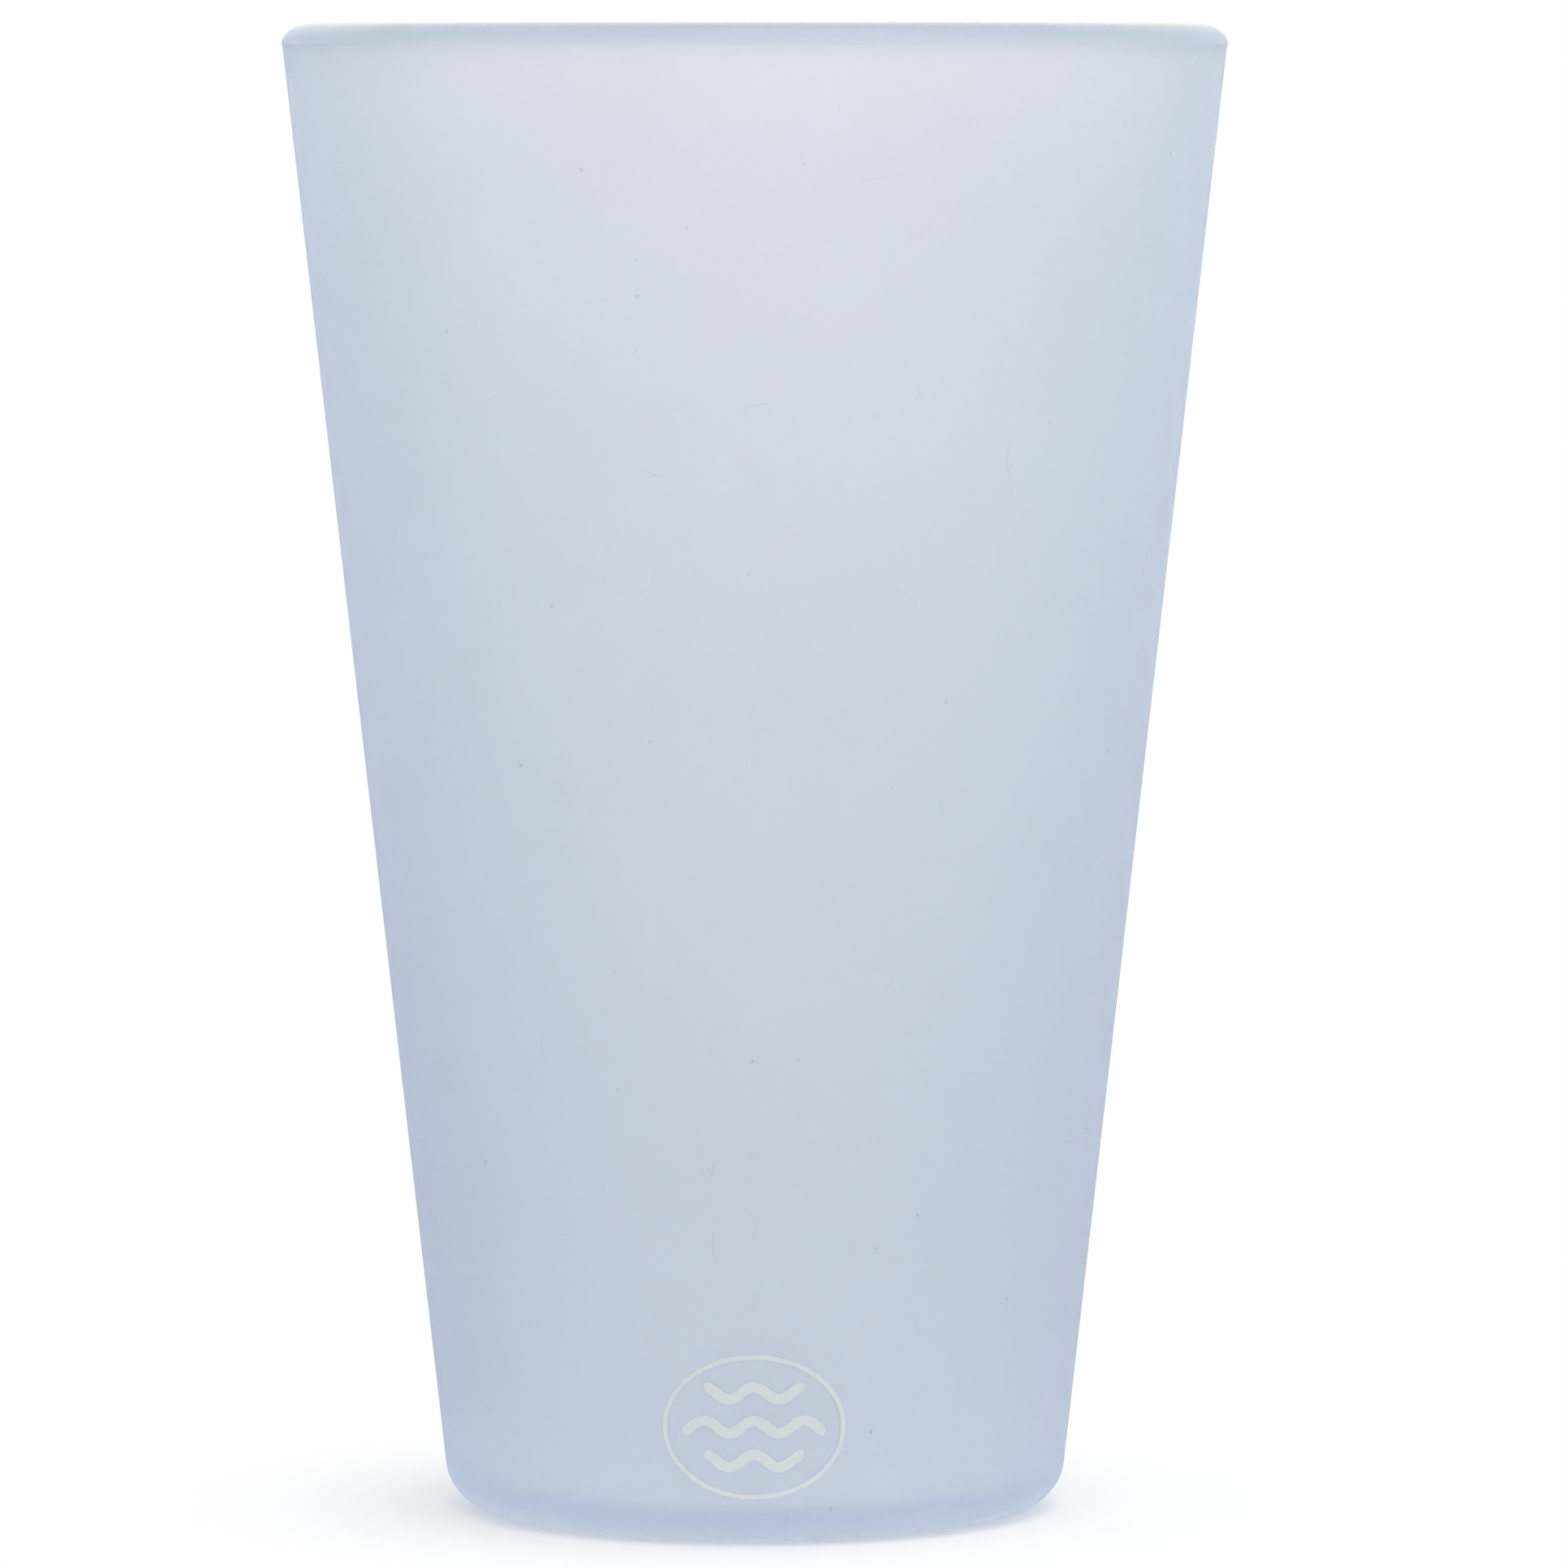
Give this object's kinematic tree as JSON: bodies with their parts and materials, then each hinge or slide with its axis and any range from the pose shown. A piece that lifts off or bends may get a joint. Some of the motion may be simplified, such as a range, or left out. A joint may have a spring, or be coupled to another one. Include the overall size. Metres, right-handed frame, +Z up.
{
  "type": "silicone pint tumbler",
  "caption": "Tapered frosted silicone pint tumbler with a thick soft wall, a rounded drinking lip, a soft-cornered foot and a small oval wave print low on its front.",
  "frame": {"origin": "on the tumbler's axis, at the surface that its foot stands on", "axes": "+Z up the axis to the rim; -Y is the front, where the print is; +X is to the right as the front is seen"},
  "size_m": [0.0888, 0.0888, 0.14],
  "materials": {
    "frosted_silicone": "frosted satin, translucent pale ice blue",
    "silicone_ink": "matt pale grey silicone print"
  },
  "bodies": {
    "root": {"tumbler": "frosted_silicone", "mark_oval": "silicone_ink", "mark_wave_1": "silicone_ink", "mark_wave_2": "silicone_ink", "mark_wave_3": "silicone_ink"}
  },
  "joints": []
}
